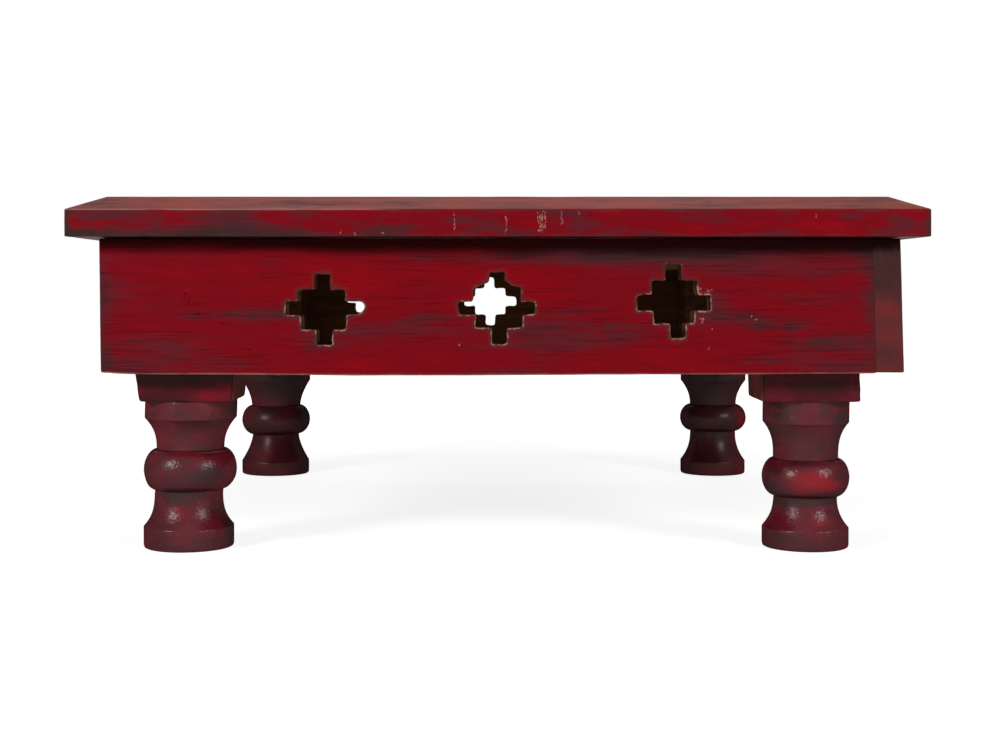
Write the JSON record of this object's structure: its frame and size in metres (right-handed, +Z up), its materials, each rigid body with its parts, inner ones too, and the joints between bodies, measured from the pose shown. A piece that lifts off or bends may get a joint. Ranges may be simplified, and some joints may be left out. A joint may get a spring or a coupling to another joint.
{
  "type": "low table",
  "caption": "Low square wooden table with a thick bevelled top, a box frame pierced with stepped crosses and turned legs with square heads.",
  "frame": {"origin": "on the floor under the middle of the tabletop", "axes": "+Z up, +X to the table's right, +Y to its back; the front, which the picture shows, faces -Y"},
  "size_m": [0.6, 0.6, 0.2548],
  "materials": {
    "red_paint": "semi-gloss deep red paint over black, rubbed through at the edges",
    "leg_paint": "semi-gloss purplish dark red paint over black, worn",
    "stained_wood": "dark brown stain, matt",
    "steel": "dull dark steel, painted over where it shows"
  },
  "bodies": {
    "root": {"top_plank_1": "red_paint", "top_plank_2": "red_paint", "top_plank_3": "red_paint", "top_plank_4": "red_paint", "top_plank_5": "red_paint", "board_front": "red_paint", "board_right": "red_paint", "board_back": "red_paint", "board_left": "red_paint", "leg_front_left": "leg_paint", "leg_front_right": "leg_paint", "leg_back_right": "leg_paint", "leg_back_left": "leg_paint", "batten_left": "stained_wood", "batten_right": "stained_wood", "screw_left_1": "steel", "screw_left_2": "steel", "screw_left_3": "steel", "screw_left_4": "steel", "screw_left_5": "steel", "screw_right_1": "steel", "screw_right_2": "steel", "screw_right_3": "steel", "screw_right_4": "steel", "screw_right_5": "steel", "nail_front_left_lower": "steel", "nail_front_left_upper": "steel", "nail_front_right_lower": "steel", "nail_front_right_upper": "steel", "nail_front_corner_lower": "steel", "nail_front_corner_upper": "steel", "nail_front_batten_left": "steel", "nail_front_batten_right": "steel", "nail_right_left_lower": "steel", "nail_right_left_upper": "steel", "nail_right_right_lower": "steel", "nail_right_right_upper": "steel", "nail_right_corner_lower": "steel", "nail_right_corner_upper": "steel", "nail_back_left_lower": "steel", "nail_back_left_upper": "steel", "nail_back_right_lower": "steel", "nail_back_right_upper": "steel", "nail_back_corner_lower": "steel", "nail_back_corner_upper": "steel", "nail_back_batten_left": "steel", "nail_back_batten_right": "steel", "nail_left_left_lower": "steel", "nail_left_left_upper": "steel", "nail_left_right_lower": "steel", "nail_left_right_upper": "steel", "nail_left_corner_lower": "steel", "nail_left_corner_upper": "steel"}
  },
  "joints": []
}
